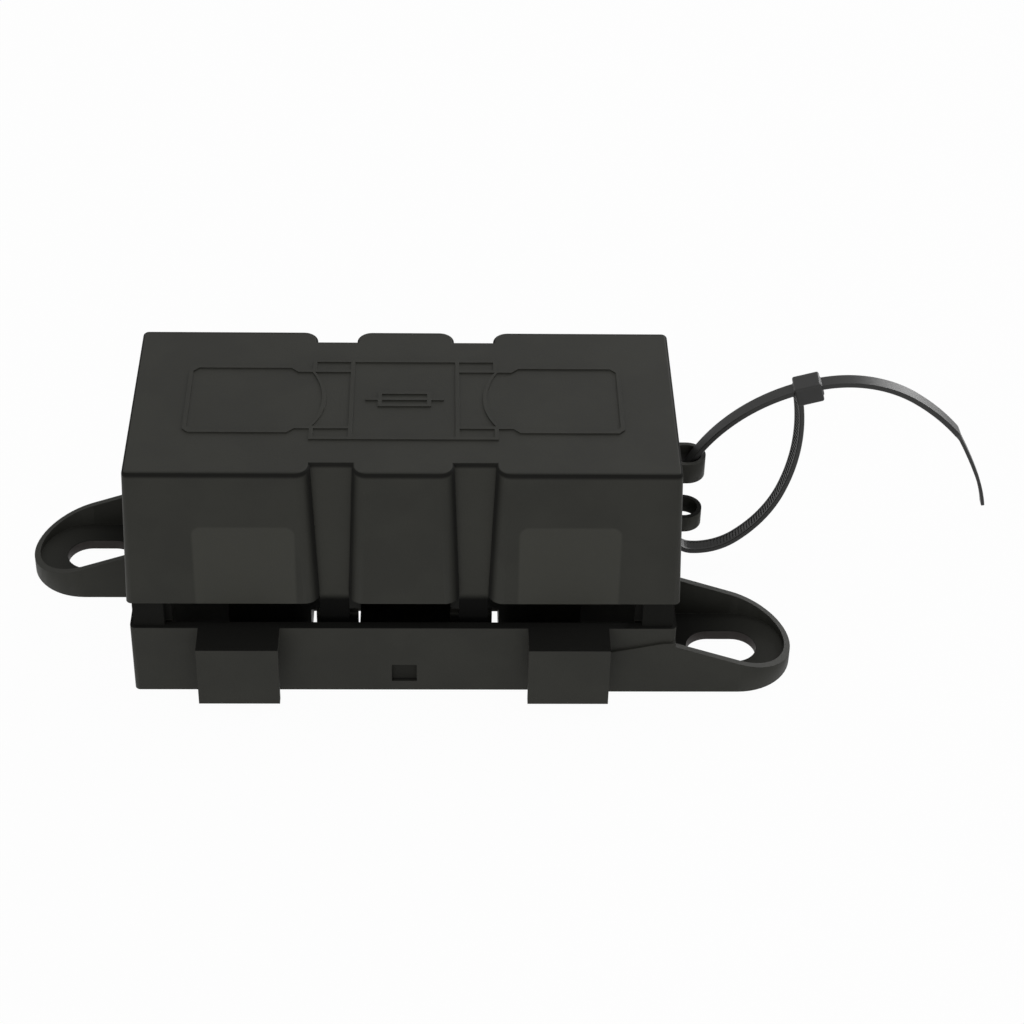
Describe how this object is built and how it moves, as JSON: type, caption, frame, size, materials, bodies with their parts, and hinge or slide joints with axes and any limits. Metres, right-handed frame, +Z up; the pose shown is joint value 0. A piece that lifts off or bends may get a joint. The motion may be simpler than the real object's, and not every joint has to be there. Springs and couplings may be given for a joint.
{
  "type": "fuse holder",
  "caption": "Closed holder for a bolt-down high-current fuse: ribbed tray with slotted ears and link hooks, lift-off cover tethered by a cable tie.",
  "frame": {"origin": "centre of the base's underside, midway between its end walls and its side walls", "axes": "+X along the holder towards the tethered end, +Y away from the link hooks, +Z up through the cover"},
  "size_m": [0.2234, 0.0653, 0.0596],
  "materials": {
    "moulding": "matt black glass-filled nylon",
    "tie": "satin black nylon",
    "plated_steel": "zinc plated",
    "spring_steel": "zinc plated, duller",
    "fuse_strip": "tin-plated copper",
    "fuse_housing": "matt grey-beige plastic"
  },
  "bodies": {
    "holder": {"base": "moulding", "fuse_element": "fuse_strip", "fuse_housing_lower": "fuse_housing", "fuse_housing_upper": "fuse_housing", "stud_left": "plated_steel", "flat_washer_left": "plated_steel", "spring_washer_left": "spring_steel", "nut_left": "plated_steel", "stud_right": "plated_steel", "flat_washer_right": "plated_steel", "spring_washer_right": "spring_steel", "nut_right": "plated_steel"},
    "lid": {"cover": "moulding", "cable_tie": "tie"}
  },
  "joints": [
    {"name": "cover_lift", "type": "slide", "parent": "holder", "child": "lid", "axis": [0, 0, 1], "range_m": [0, 0.04], "deforming": ["cable_tie"]}
  ]
}
